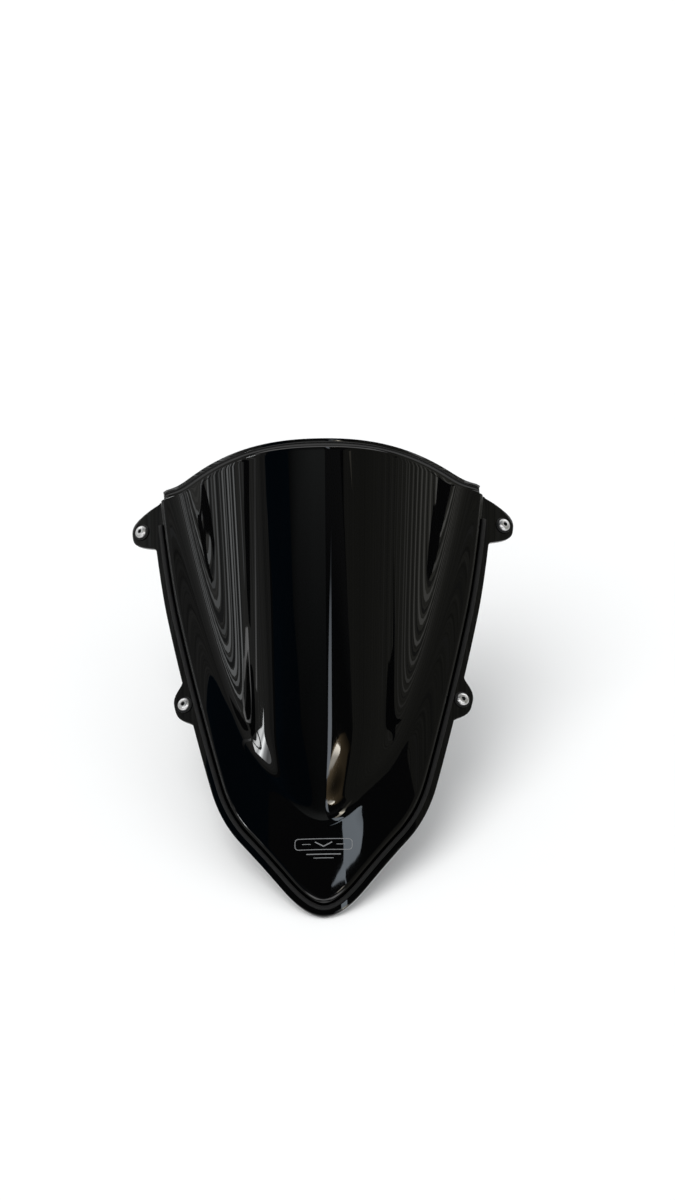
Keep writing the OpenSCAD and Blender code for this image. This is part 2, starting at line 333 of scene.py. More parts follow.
def local_noise(tree, scale, stretch=(1, 1, 1), detail=2.0, attribute=None):
    """Noise value about the piece's own axis, or about the frame when no attribute is named."""
    if attribute:
        where = node(tree, "Attribute", attribute_name=attribute).outputs["Vector"]
    else:
        where = node(tree, "TexCoord").outputs["Object"]
    placed = node(tree, "Mapping", {"Vector": where, "Scale": stretch})
    noise = node(tree, "TexNoise", {
        "Vector": placed.outputs["Vector"], "Scale": scale, "Detail": detail, "Roughness": 0.6})
    return noise.outputs["Fac"]


def spread(tree, value, low, high, start=0.3, end=0.7):
    made = node(tree, "MapRange", {
        "Value": value, "From Min": start, "From Max": end, "To Min": low, "To Max": high})
    return made.outputs["Result"]


def mixed(tree, factor, first, second):
    made = node(tree, "Mix", data_type="RGBA")
    tree.links.new(factor, made.inputs["Factor"])
    made.inputs["A"].default_value = (*first, 1)
    made.inputs["B"].default_value = (*second, 1)
    return made.outputs["Result"]


def bumped(tree, shader, value, strength, distance):
    bump = node(tree, "Bump", {"Height": value, "Strength": strength, "Distance": distance})
    tree.links.new(bump.outputs["Normal"], shader.inputs["Normal"])


ACRYLIC_DARK = (0.0003, 0.0003, 0.0004)
ACRYLIC_LIGHT = (0.0006, 0.0007, 0.0008)
# The socket gets painted shade inside this radius, from the first depth under the top of the head to the
# second
SOCKET_DARK_R = 1.95
SOCKET_DARK_FROM = 0.2
SOCKET_DARK_TO = 0.7
SOCKET_DARKNESS = 0.96


def acrylic_material():
    """Near-black smoke acrylic: polished, with a trace of wipe marks in its gloss."""
    material, tree, shader = new_material("tinted_acrylic", IOR=1.49)
    cloud = local_noise(tree, 9.0, (1, 0.4, 0.4))
    tree.links.new(mixed(tree, cloud, ACRYLIC_DARK, ACRYLIC_LIGHT), shader.inputs["Base Color"])
    tree.links.new(spread(tree, cloud, 0.006, 0.02), shader.inputs["Roughness"])
    return material


def rubber_material(name, dark, light, roughness, grain):
    """Moulded rubber with a fine matt grain."""
    material, tree, shader = new_material(name, Specular_IOR_Level=0.3)
    noise = local_noise(tree, grain, detail=3.0)
    tree.links.new(mixed(tree, noise, dark, light), shader.inputs["Base Color"])
    tree.links.new(spread(tree, noise, roughness - 0.06, roughness + 0.06), shader.inputs["Roughness"])
    bumped(tree, shader, noise, 0.35, 0.00006)
    return material


def steel_material():
    """Turned stainless steel: fine rings about the axis of the screw, and painted shade inside the socket.
    """
    material, tree, shader = new_material("screw_steel", Metallic=1.0)
    where = node(tree, "Attribute", attribute_name="local").outputs["Vector"]
    parts = node(tree, "SeparateXYZ", {"Vector": where})
    flat = node(tree, "CombineXYZ", {"X": parts.outputs["X"], "Y": parts.outputs["Y"]})
    radius = node(tree, "VectorMath", {0: flat.outputs["Vector"]}, operation="LENGTH")
    rings = node(tree, "CombineXYZ", {"X": radius.outputs["Value"], "Y": parts.outputs["Z"]})
    noise = node(tree, "TexNoise", {
        "Vector": rings.outputs["Vector"], "Scale": 14.0, "Detail": 2.0})
    fine = noise.outputs["Fac"]
    clean = mixed(tree, fine, (0.66, 0.66, 0.665), (0.84, 0.84, 0.835))
    # Painted shade: the base colour darkens deeper inside the socket
    within = node(tree, "Math", {0: radius.outputs["Value"], 1: SOCKET_DARK_R},
                  operation="LESS_THAN")
    deep = node(tree, "MapRange", {
        "Value": parts.outputs["Z"], "From Min": HEAD_H - SOCKET_DARK_FROM,
        "From Max": HEAD_H - SOCKET_DARK_TO, "To Min": 0.0, "To Max": SOCKET_DARKNESS})
    painted_socket_shade = node(tree, "Math", {0: within.outputs["Value"], 1: deep.outputs["Result"]},
                operation="MULTIPLY")
    bright = node(tree, "Math", {0: 1.0, 1: painted_socket_shade.outputs["Value"]}, operation="SUBTRACT")
    toned = node(tree, "VectorMath", {0: clean, "Scale": bright.outputs["Value"]},
                 operation="SCALE")
    tree.links.new(toned.outputs["Vector"], shader.inputs["Base Color"])
    tree.links.new(spread(tree, fine, 0.3, 0.42), shader.inputs["Roughness"])
    bumped(tree, shader, fine, 0.12, 0.00002)
    return material


def brass_material():
    """Brass with a little dulling that varies at random."""
    material, tree, shader = new_material("insert_brass", Metallic=1.0)
    noise = local_noise(tree, 1.3, attribute="local")
    tree.links.new(mixed(tree, noise, (0.50, 0.33, 0.11), (0.70, 0.50, 0.20)), shader.inputs["Base Color"])
    tree.links.new(spread(tree, noise, 0.22, 0.38), shader.inputs["Roughness"])
    return material


def etched_material():
    """Frosted surface of an etched line."""
    material, tree, shader = new_material("etched_acrylic", Roughness=0.6)
    noise = local_noise(tree, 900.0)
    frosted = mixed(tree, noise, (0.11, 0.113, 0.117), (0.19, 0.193, 0.197))
    tree.links.new(frosted, shader.inputs["Base Color"])
    return material


ACRYLIC = acrylic_material()
# The seal is real rubber, made darker than the other rubber as painted shade of the gap under the cowl
SEAL_RUBBER_AND_GAP_SHADE = rubber_material("seal_rubber", (0.0025, 0.0025, 0.0027), (0.0045, 0.0045, 0.0047), 0.6, 1800.0)
NYLON = rubber_material("washer_nylon", (0.004, 0.004, 0.0042), (0.007, 0.007, 0.0072), 0.42, 900.0)
NUT = rubber_material("nut_rubber", (0.008, 0.008, 0.008), (0.014, 0.014, 0.0135), 0.66, 1500.0)
STEEL = steel_material()
BRASS = brass_material()
ETCHED = etched_material()


# ---- Screen ----

# Rows of the sheet along each stretch of the outline, points across the panel, and rings round it
SHEET_ROWS = [20, 24, 24, 36, 44, 56]
ACROSS = 120
CONVEX_RINGS = 8
CONCAVE_RINGS = 4
FLANGE_RINGS = 8
LIP_CREASE_ROWS = 10
# How far the rim of the flange is set in, so that the rounded edge stays inside the CAD's box
RIM_INSET = 0.1
# Radius of the polished edges of the sheet, and facets round each
EDGE_R = 0.4
EDGE_STEPS = 4
EDGE_ANGLES = [pi / 2 * i / EDGE_STEPS for i in range(1, EDGE_STEPS + 1)]


def step_profile():
    """Rings of the step, from the panel out: distance outside the outline, and drop."""
    angle = acos(1 - STEP_DROP / (STEP_R_OUT + STEP_R_IN))
    run = (STEP_R_OUT + STEP_R_IN) * sin(angle) - STEP_SETBACK
    convex = [angle * i / CONVEX_RINGS for i in range(CONVEX_RINGS + 1)]
    concave = [angle * (1 - i / CONCAVE_RINGS) for i in range(1, CONCAVE_RINGS + 1)]
    rings = [(STEP_R_OUT * sin(a) - STEP_SETBACK, STEP_R_OUT * (1 - cos(a))) for a in convex]
    rings += [(run - STEP_R_IN * sin(a), STEP_DROP - STEP_R_IN * (1 - cos(a))) for a in concave]
    return np.array(rings), run


STEP_RINGS, STEP_RUN = step_profile()


def tab_bump(s, centre, half):
    return (1 - np.minimum(1, np.abs(s - centre) / half) ** 3) ** 1.5


def flange_reach(s, feet):
    corner = np.sqrt(1 - np.clip((s - PANEL_L + CORNER_R) / CORNER_R, 0, 1) ** 2)
    reach = STEP_RUN + 1 + (FLANGE_W - STEP_RUN - 1) * corner
    for (centre, distance), half in zip(feet, (UPPER_TAB_HALF, LOWER_TAB_HALF)):
        reach = reach + (distance + TAB_MARGIN - FLANGE_W) * tab_bump(s, centre, half)
    return reach


def rim_points(points, outward, e, drop, side):
    """Points e outside the outline and a drop below the swept sheet, measured along its normal."""
    p = points + np.asarray(e)[..., None] * outward
    x = side * p[..., 0]
    base = np.stack([x, p[..., 1], sweep_height(x)], axis=-1)
    return base - np.asarray(drop)[..., None] * sweep_normal(x)


def sheet_grid():
    """Front of the sheet inside its rounded edges, and the directions along both outlines."""
    points, along, outward = outline_rows(SHEET_ROWS)
    feet = [foot_of(fix, points, along, outward) for fix in (UPPER_FIX, LOWER_FIX)]
    reach = flange_reach(points[:, 1], feet) - EDGE_R - RIM_INSET
    fractions = np.arange(1, FLANGE_RINGS + 1) / FLANGE_RINGS
    e = np.concatenate([
        np.repeat(STEP_RINGS[None, :, 0], len(points), 0),
        STEP_RUN + (reach - STEP_RUN)[:, None] * fractions[None, :],
    ], axis=1)
    drop = np.concatenate([STEP_RINGS[:, 1], np.full(FLANGE_RINGS, STEP_DROP)])
    drop = np.repeat(drop[None, :], len(points), 0)
    # The first ring is the edge of the panel itself
    bands = {
        side: rim_points(points[:, None, :], outward[:, None, :], e, drop, side)[:, 1:]
        for side in (-1, 1)
    }
    edge = points - STEP_SETBACK * outward
    u = np.linspace(-1, 1, ACROSS + 1)[None, :]
    x = u * edge[:, :1]
    s = edge[:, 1:] + TOP_BOW * (1 - u * u) * (edge[:, 1:] / PANEL_L) ** 4
    panel = np.stack([x, s, height(x, s)], axis=-1)
    front = np.concatenate([bands[-1][:, ::-1], panel, bands[1]], axis=1)
    return front, along[-1], bands[1].shape[1]


def lip_rows(top, direction, band):
    """Rows of the flared lip past the top row of the sheet, and where each of its ends points."""
    cols = len(top)
    x, s = top[:, 0], top[:, 1]
    index = np.arange(cols)
    on_panel = (index > band) & (index < cols - 1 - band)
    normal = np.where(on_panel[:, None], panel_normal(x, s), sweep_normal(x))
    side = np.where(index <= band, -1.0, 1.0)
    along_rim = unit(np.stack([
        side * direction[0], 0 * x + direction[1], -np.abs(x) / CURVE_R * direction[0],
    ], axis=-1))
    across = np.gradient(top, axis=0)
    forward = np.where(on_panel[:, None], unit(np.cross(normal, across)), along_rim)
    end_x = np.abs(x[band])
    fade = np.where(on_panel, soft((end_x - np.abs(x)) / LIP_FADE), 0)
    turns = [LIP_TURN * (i + 1) / LIP_CREASE_ROWS for i in range(LIP_CREASE_ROWS)]
    profile = [(LIP_R * sin(a), LIP_R * (1 - cos(a))) for a in turns]
    straight = (LIP_H - profile[-1][1]) / sin(LIP_TURN) - EDGE_R
    profile.append((profile[-1][0] + straight * cos(LIP_TURN),
                    profile[-1][1] + straight * sin(LIP_TURN)))
    past_end = max(RIM_PAST - EDGE_R, 0)
    rows = []
    for i, (run, rise) in enumerate(profile):
        past = past_end * (i + 1) / len(profile)
        rows.append(top + forward * (run * fade + past * (1 - fade))[:, None]
                    + normal * (rise * fade)[:, None])
    turn = (LIP_TURN * fade)[:, None]
    return np.array(rows), forward * np.cos(turn) + normal * np.sin(turn)


def sheet_normals(front, band):
    """Normals from the neighbouring grid points. The tip row is one point wide."""
    normals = np.zeros_like(front)
    crossed = np.cross(np.gradient(front, axis=1), np.gradient(front, axis=0))
    normals[1:] = unit(crossed[1:])
    out = np.gradient(front[0, -1 - band:], axis=0)
    tip = unit(np.cross(out, np.array([1.0, 0, 0])))
    tip[0] = (0, 0, 1)
    normals[0] = (0, 0, 1)
    normals[0, -1 - band:] = tip
    normals[0, :band + 1] = tip[::-1]
    return normals


def edge_frames(front, lip_end):
    """Grid places round the rim of the sheet, and the outward direction at each."""
    rows, cols = front.shape[:2]
    right = unit(front[:, -1] - front[:, -2])
    left = unit(front[:, 0] - front[:, 1])
    corner_right, corner_left = right[-2] + lip_end[-1], left[-2] + lip_end[0]
    places = [(i, cols - 1) for i in range(rows)]
    out = list(right[:-1]) + [corner_right]
    places += [(rows - 1, j) for j in range(cols - 2, -1, -1)]
    out += list(lip_end[-2:0:-1]) + [corner_left]
    places += [(i, 0) for i in range(rows - 2, -1, -1)]
    out += list(left[-2::-1])
    return places, np.array(out)


def screen_mesh():
    front, direction, band = sheet_grid()
    lip, lip_end = lip_rows(front[-1], direction, band)
    front = np.concatenate([front, lip], axis=0)
    normals = sheet_normals(front, band)
    back = front - SHEET_T * normals
    rows, cols = front.shape[:2]
    count = rows * cols
    faces = grid_faces(rows, cols)
    faces += [tuple(i + count for i in reversed(f)) for f in faces]

    places, out = edge_frames(front, lip_end)
    index = [i * cols + j for i, j in places]
    at = np.array([front[p] for p in places])
    normal = np.array([normals[p] for p in places])
    profile = [(EDGE_R * sin(a), EDGE_R * (1 - cos(a))) for a in EDGE_ANGLES]
    profile += [(reach, SHEET_T - depth) for reach, depth in reversed(profile)]
    rings = [at + reach * out - depth * normal for reach, depth in profile]
    verts = np.concatenate([front.reshape(-1, 3), back.reshape(-1, 3)] + rings)
    lines = [index] + [list(range(2 * count + k * len(index), 2 * count + (k + 1) * len(index)))
                       for k in range(len(rings))] + [[i + count for i in index]]
    for upper, lower in zip(lines, lines[1:]):
        for k in range(len(index) - 1):
            faces.append((upper[k + 1], upper[k], lower[k], lower[k + 1]))
    return in_use(verts), faces


def cut_holes(obj):
    """Cuts the four screw holes through the tabs."""
    for corner in CORNERS:
        drill = new_object("drill", [], [], smooth=False)
        bm = bmesh.new()
        bmesh.ops.create_cone(bm, cap_ends=True, segments=48, radius1=TAB_HOLE_D / 2 * MM,
                              radius2=TAB_HOLE_D / 2 * MM, depth=3 * SHEET_T * MM)
        bmesh.ops.transform(bm, matrix=place_matrix(corner), verts=bm.verts)
        bm.to_mesh(drill.data)
        bm.free()
        cut_away(obj, drill)


def make_screen():
    verts, faces = screen_mesh()
    obj = new_object("screen_sheet", verts, faces)
    mend(obj, merge=1e-6, dissolve=1e-7)
    cut_holes(obj)
    shade(obj)
    finish_piece(obj, ACRYLIC, "tinted_acrylic", "screen")


# ---- Edge seal ----

SEAL_ROWS = [14, 16, 18, 28, 32, 40]
# Length over which each end tapers, and the height that is left there
SEAL_TAPER = 5.0
SEAL_TAPER_TO = 0.35


def seal_section():
    """Section of the strip, as distance outside the step and height: a soft crown, a groove, a base."""
    crown = [(0.5 - 0.5 * cos(a), 0.62 + 0.38 * sin(a)) for a in np.linspace(0, pi, 15)]
    groove = [(1.0, 0.42), (0.94, 0.36), (0.94, 0.24), (1.0, 0.18), (0.98, 0.04), (0.93, 0)]
    base = [(0.5, 0), (0.07, 0), (0.02, 0.04)]
    return np.array(crown + groove + base) * [SEAL_W, SEAL_H]


def make_seal():
    """The rubber strip lies on the flange round the foot of the step, and tapers off at its ends. Its
    near-black tone is also painted shade of the gap under the cowl.
    """
    points, _, outward = outline_rows(SEAL_ROWS)
    keep = points[:, 1] < PANEL_L - SEAL_STOP
    points, outward = points[keep], outward[keep]
    section = seal_section()
    ends = np.clip((PANEL_L - SEAL_STOP - points[:, 1]) / SEAL_TAPER, 0, 1)
    scale = SEAL_TAPER_TO + (1 - SEAL_TAPER_TO) * np.sqrt(1 - (1 - ends) ** 2)
    sides = []
    for side in (-1, 1):
        e = STEP_RUN + SEAL_GAP + section[None, :, 0].repeat(len(points), 0)
        lift = section[None, :, 1] * scale[:, None]
        rings = rim_points(points[:, None, :], outward[:, None, :], e, STEP_DROP - lift, side)
        sides.append(rings[:0:-1] if side < 0 else rings)
    rings = np.concatenate(sides)
    rows, cols = rings.shape[:2]
    faces = grid_faces(rows, cols, wrap=True)
    faces += [tuple(range(cols)), tuple((rows - 1) * cols + j for j in reversed(range(cols)))]
    obj = new_object("edge_seal_strip", in_use(rings).reshape(-1, 3), faces)
    mend(obj)
    shade(obj)
    finish_piece(obj, SEAL_RUBBER_AND_GAP_SHADE, "seal_rubber", "edge_seal")


# ---- Turned pieces ----

def turned(name, profile, segments=96, radius=None, closed=True):
    """Turns a profile of (radius, height) in millimetres about Z; radius may vary it with the angle."""
    count = len(profile)
    verts = []
    for k in range(segments):
        angle = 2 * pi * k / segments
        for r, z in profile:
            r = radius(r, z, angle) if radius else r
            verts.append((r * cos(angle) * MM, r * sin(angle) * MM, z * MM))
    faces = []
    for k in range(segments):
        n = (k + 1) % segments
        for i in range(count if closed else count - 1):
            j = (i + 1) % count
            faces.append((k * count + i, n * count + i, n * count + j, k * count + j))
    obj = new_object(name, verts, faces)
    mend(obj, merge=1e-8, dissolve=1e-8)
    shade(obj)
    return obj


def arc(centre, radius, start, end, steps):
    """Points of an arc in a profile, with its angles in degrees."""
    angles = np.radians(np.linspace(start, end, steps + 1))
    return [(centre[0] + radius * cos(a), centre[1] + radius * sin(a)) for a in angles]


# ---- Fixings ----

THREAD_PITCH = 0.8
THREAD_DEPTH = 0.46
THREAD_FLANK = 2.6
THREAD_CREST = 0.12
THREAD_STEPS = 10
# Plain neck under the screw's head, and the cone of its tip
NECK = 1.6
TIP_CONE = 0.6
# Room round the insert in its rubber, and between its thread and the screw's
INSERT_GAP = 0.02
THREAD_GAP = 0.03
KNURL_DEPTH = 0.28
KNURL_RIDGES = 36
# Two distances in a profile closer than this are the same
SAME = 1e-6
# How far each screw was turned when it was tightened
SCREW_TURNS = [radians(a) for a in (12, 41, 27, 3)]


def thread_cut(z, angle):
    """Depth of the thread groove at a height and an angle, for a right-handed thread."""
    phase = (z / THREAD_PITCH - angle / (2 * pi)) % 1.0
    groove = THREAD_FLANK * (0.5 - abs(phase - 0.5)) - THREAD_CREST
    return THREAD_DEPTH * min(1.0, max(0.0, groove))


def screw_head(shank):
    """Profile of the button head, from its fillet on the shank to the middle of its top."""
    fillet, rim = 0.25, 0.15
    half_chord = (HEAD_D - HEAD_FLAT_D) / 2
    rise = HEAD_H - HEAD_EDGE
    profile = [(shank, -fillet)]
    profile += arc((shank + fillet, -fillet), fillet, 180, 90, 4)[1:]
    profile += arc((HEAD_D / 2 - rim, rim), rim, -90, 0, 4)
    profile += [(HEAD_D / 2, HEAD_EDGE)]
    for across, up in arc((0, 0), 1, 0, 90, 14)[1:]:
        profile.append((HEAD_FLAT_D / 2 + half_chord * across, HEAD_EDGE + rise * up))
    return profile + [(HEAD_FLAT_D / 4, HEAD_H), (0, HEAD_H)]


def socket_tool():
    """The hexagon of the socket, with a drill point."""
    half, floor, point = SOCKET_W / 2, HEAD_H - SOCKET_DEPTH, 0.55
    profile = [(0, HEAD_H + 1), (half, HEAD_H + 1), (half, floor), (0, floor - point)]
    return turned("socket", profile, segments=6, closed=False,
                  radius=lambda r, z, angle: r / cos(pi / 6))


def mouth_tool():
    """The chamfer round the mouth of the socket."""
    wide, narrow, over, depth = SOCKET_W / 2 + 0.75, SOCKET_W / 2 - 0.15, 0.5, 0.4
    profile = [(0, HEAD_H + over), (wide, HEAD_H + over), (narrow, HEAD_H - depth), (0, HEAD_H - depth)]
    return turned("mouth", profile, segments=64, closed=False)


def screw_template():
    shank = SHANK_D / 2
    steps = int((SCREW_L - NECK) / THREAD_PITCH * THREAD_STEPS)
    heights = np.linspace(-SCREW_L, -NECK, steps + 1)
    profile = [(0, -SCREW_L)] + [(shank, z) for z in heights] + screw_head(shank)

    def radius(r, z, angle):
        if r < shank - SAME or z > SAME - NECK:
            return r
        run_out = min(1.0, (-NECK - z) / THREAD_PITCH)
        tip = shank - TIP_CONE + z + SCREW_L
        return min(r - run_out * thread_cut(z, angle), max(tip, 0))

    obj = turned("screw_template", profile, segments=64, radius=radius, closed=False)
    cut_away(obj, socket_tool())
    cut_away(obj, mouth_tool())
    obj.data.set_sharp_from_angle(angle=SHARP)
    return obj


def washer_template():
    inner, outer, r = WASHER_BORE_D / 2, WASHER_D / 2, 0.22
    profile = arc((outer - r, r), r, -90, 0, 5) + arc((outer - r, WASHER_T - r), r, 0, 90, 5)
    profile += arc((inner + r, WASHER_T - r), r, 90, 180, 5) + arc((inner + r, r), r, 180, 270, 5)
    return turned("washer_template", profile)


def well_nut_template():
    top = -SHEET_T
    under = top - NUT_FLANGE_T
    end = under - NUT_BODY_L
    flange, body, bore, socket = NUT_FLANGE_D / 2, NUT_BODY_D / 2, RUBBER_BORE_D / 2, INSERT_D / 2
    top_r, edge_r, mouth = 0.35, 0.5, 0.1
    # Small steps inward and along: a sealing groove under the flange, a neck and a moulded ring
    groove = [(1.3, 0), (1.45, 0.18), (1.75, 0.18), (1.9, 0)]
    neck = [(0, 0), (0, 0.25), (0.12, 0.4), (0.12, 1.0), (0, 1.15)]
    ring = [(0, 5.2), (0.1, 5.05), (0.1, 4.75), (0, 4.6)]
    profile = [(bore, top), (flange - top_r, top)]
    profile += arc((flange - top_r, top - top_r), top_r, 90, 0, 5)[1:]
    profile += arc((flange - edge_r, under + edge_r), edge_r, 0, -90, 6)
    profile += [(flange - inward, under + up) for inward, up in groove]
    profile += [(body - inward, under - down) for inward, down in neck]
    profile += [(body - inward, end + up) for inward, up in ring]
    profile += arc((body - edge_r, end + edge_r), edge_r, 0, -90, 6)
    profile += [(socket + mouth, end), (socket, end + mouth), (socket, end + INSERT_L)]
    return turned("well_nut_template", profile + [(bore, end + INSERT_L)])


def insert_template():
    low = -SHEET_T - NUT_FLANGE_T - NUT_BODY_L
    high = low + INSERT_L - INSERT_GAP
    outer, shank = INSERT_D / 2 - INSERT_GAP, SHANK_D / 2
    # Two knurled bands with a waist between them
    knurl, waist = outer - 0.01, outer - 0.45
    knurl_low, knurl_high = low + 1.2, high - 0.8
    middle = (knurl_low + knurl_high) / 2
    steps = int(INSERT_L / THREAD_PITCH * THREAD_STEPS)
    profile = [(shank + 0.5, low + 0.02), (outer - 0.25, low + 0.02), (outer, low + 0.27)]
    profile += [(outer, knurl_low), (knurl, knurl_low + 0.1), (knurl, middle - 0.6), (waist, middle - 0.5)]
    profile += [(waist, middle + 0.5), (knurl, middle + 0.6), (knurl, knurl_high - 0.1)]
    profile += [(outer, knurl_high), (outer, high - 0.2), (outer - 0.2, high), (shank + 0.3, high)]
    profile += [(shank, z) for z in np.linspace(high - 0.3, low + 0.5, steps)]

    def radius(r, z, angle):
        if r < shank + SAME:
            return shank - thread_cut(z, angle) + THREAD_GAP
        if abs(r - knurl) < SAME:
            return r - KNURL_DEPTH * (1 - abs(cos(KNURL_RIDGES / 2 * angle)))
        return r

    return turned("insert_template", profile, segments=144, radius=radius)


def keep_local(obj):
    """Keeps the coordinates about the fixing's own axis, in millimetres, for its material."""
    mesh = obj.data
    flat = np.empty(3 * len(mesh.vertices), np.float32)
    mesh.vertices.foreach_get("co", flat)
    layer = mesh.attributes.new("local", "FLOAT_VECTOR", "POINT")
    layer.data.foreach_set("vector", flat / MM)


def place_fixings():
    """Puts a copy of each of the four fixing pieces at each corner of the screen."""
    kinds = {
        "screw": (screw_template(), STEEL, "screw_steel"),
        "washer": (washer_template(), NYLON, "washer_nylon"),
        "well_nut": (well_nut_template(), NUT, "nut_rubber"),
        "insert": (insert_template(), BRASS, "insert_brass"),
    }
    for kind, (template, material, slot) in kinds.items():
        keep_local(template)
        lift = WASHER_T * MM if kind == "screw" else 0
        for number, corner in enumerate(CORNERS):
            mesh = template.data.copy()
            angle = SCREW_TURNS[number] if kind in ("screw", "insert") else 0
            turn = Matrix.Rotation(angle, 4, "Z")
            mesh.transform(place_matrix(corner) @ Matrix.Translation((0, 0, lift)) @ turn)
            obj = add_object(f"{corner}_{kind}_detail", mesh)
            finish_piece(obj, material, slot, f"{corner}_{kind}")
        bpy.data.objects.remove(template)


# ---- Etched mark ----

MARK_S = 43.0
MARK_W = 40.0
MARK_H = 8.0
MARK_R = 2.4
# How far the lines stand out of the sheet, and reach into it
MARK_RISE = 0.02
MARK_SINK = 0.03


def rounded_box(width, length, radius, steps=6):
    """Closed path round a rounded rectangle about the origin, with points close enough to bend."""
    corners = [(1, 1, 0), (-1, 1, 90), (-1, -1, 180), (1, -1, 270)]
    path = []
    for sx, sy, start in corners:
        centre = (sx * (width / 2 - radius), sy * (length / 2 - radius))
        path += arc(centre, radius, start, start + 90, steps)
    return path


def subdivide(path, closed, longest=1.5):
    """The same path with no stretch longer than a given length."""
    out = []
    pairs = zip(path, path[1:] + path[:1]) if closed else zip(path, path[1:])
    for a, b in pairs:
        n = max(1, ceil(dist(a, b) / longest))
        out += [(a[0] + (b[0] - a[0]) * i / n, a[1] + (b[1] - a[1]) * i / n) for i in range(n)]
    return out if closed else out + [path[-1]]


def ribbon(path, width, closed):
    """Verts and faces of a thin line of frosted surface that follows a path on the panel."""
    path = np.array(subdivide(path, closed))
    ahead = np.roll(path, -1, 0) - path
    behind = path - np.roll(path, 1, 0)
    if not closed:
        ahead[-1], behind[0] = behind[-1], ahead[0]
    a, b = unit(ahead), unit(behind)
    normal = unit(np.stack([-(a + b)[:, 1], (a + b)[:, 0]], axis=1))
    mitre = 1 / np.maximum(0.5, np.sum(normal * np.stack([-a[:, 1], a[:, 0]], axis=1), axis=1))
    offset = normal * (mitre * width / 2)[:, None]
    rings = []
    for edge, lift in ((-1, MARK_RISE), (1, MARK_RISE), (1, -MARK_SINK), (-1, -MARK_SINK)):
        flat = path + edge * offset
        x, s = flat[:, 0], flat[:, 1] + MARK_S
        rings.append(np.stack([x, s, height(x, s)], axis=-1) + lift * panel_normal(x, s))
    rings = np.stack(rings, axis=1)
    rows = len(path)
    faces = []
    for i in range(rows if closed else rows - 1):
        n = (i + 1) % rows
        faces += [(i * 4 + j, i * 4 + (j + 1) % 4, n * 4 + (j + 1) % 4, n * 4 + j) for j in range(4)]
    if not closed:
        faces += [(0, 1, 2, 3), tuple((rows - 1) * 4 + j for j in (3, 2, 1, 0))]
    return in_use(rings).reshape(-1, 3), faces


def make_mark():
    """A plain etched outline with a chevron between dashes, and two bars under it."""
    # Each line is its path, its width and whether it closes on itself
    lines = [
        (rounded_box(MARK_W, MARK_H, MARK_R), 0.5, True),
        ([(-6, 1.6), (0, -1.6), (6, 1.6)], 0.8, False),
        ([(-15, 0), (-9, 0)], 0.45, False),
        ([(9, 0), (15, 0)], 0.45, False),
        ([(-12, -7.4), (12, -7.4)], 0.7, False),
        ([(-7, -10.2), (7, -10.2)], 0.5, False),
    ]
    verts, faces = [], []
    for path, width, closed in lines:
        v, f = ribbon(path, width, closed)
        faces += [tuple(i + len(verts) for i in face) for face in f]
        verts += list(v)
    obj = new_object("etched_mark", verts, faces, smooth=False)
    mend(obj)
    finish_piece(obj, ETCHED, "tinted_acrylic")


make_screen()
make_seal()
place_fixings()
make_mark()

# ---- Stage ----

FLOOR_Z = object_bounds()[0][2]
FLOOR_SIZE = 9.0
FLOOR_TONE = ((0.80, 0.80, 0.795), (0.84, 0.84, 0.835))
KEY_POWER = 1.6
WORLD_POWER = 0.82

# Cards stand far off, all round the screen. A place on a card is given by two angles in degrees:
# round the lengthwise axis from straight up (right is positive), and toward the back.
CARD_RADIUS = 120.0
CARD_STEP = 0.25
CARD_FACET = 2.5
# Where the cloths end round each side, how far back their folds run, and half a window bar's breadth
CLOTH_END = 112
FOLDS_BACK = 44
BAR_HALF = 0.22
COOL = (0.80, 0.9, 1.0)


def make_floor():
    half = FLOOR_SIZE / 2
    floor = new_object("floor", [(-half, -half, FLOOR_Z), (half, -half, FLOOR_Z),
                                 (half, half, FLOOR_Z), (-half, half, FLOOR_Z)], [(0, 1, 2, 3)])
    material, tree, shader = new_material("floor", Roughness=0.8)
    tree.links.new(mixed(tree, local_noise(tree, 3.0), *FLOOR_TONE), shader.inputs["Base Color"])
    floor.data.materials.append(material)
    floor.visible_glossy = False


def make_sun():
    """A broad soft key from behind the left shoulder; the cards alone make the reflections."""
    data = bpy.data.lights.new("key", "SUN")
    data.energy = KEY_POWER
    data.angle = radians(50)
    key = add_object("key", data)
    key.rotation_euler = (radians(18), radians(-22), 0)
    key.visible_glossy = False


def make_world():
    world = bpy.data.worlds.new("studio")
    bpy.context.scene.world = world
    world.use_nodes = True
    background = world.node_tree.nodes["Background"]
    background.inputs["Color"].default_value = (0.97, 0.985, 1.0, 1)
    background.inputs["Strength"].default_value = WORLD_POWER
    world.cycles_visibility.glossy = False


def card_point(round_, back, radius):
    a, b = radians(round_), radians(back)
    return (radius * sin(a) * cos(b), radius * sin(b), radius * cos(a) * cos(b))


def card(name, rows, material, layer):
    """A curved card with its left and right edges given at each row: (back, left, right)."""
    radius = CARD_RADIUS - CARD_STEP * layer
    fine = []
    for first, second in zip(rows, rows[1:]):
        steps = max(1, ceil(abs(second[0] - first[0]) / CARD_FACET))
        fine += [tuple(p + (q - p) * i / steps for p, q in zip(first, second)) for i in range(steps)]
    fine.append(rows[-1])
    across = max(1, ceil(max(r - l for _, l, r in fine) / CARD_FACET))
    places = [(l + (r - l) * j / across, b) for b, l, r in fine for j in range(across + 1)]
    obj = new_object(name, [card_point(u, v, radius) for u, v in places],
                     grid_faces(len(fine), across + 1), smooth=False)
    layer_uv = obj.data.uv_layers.new(name="angles")
    for loop in obj.data.loops:
        layer_uv.data[loop.index].uv = places[loop.vertex_index]
    obj.data.materials.append(material)
    obj.visible_camera = False
    obj.visible_diffuse = False
    obj.visible_shadow = False


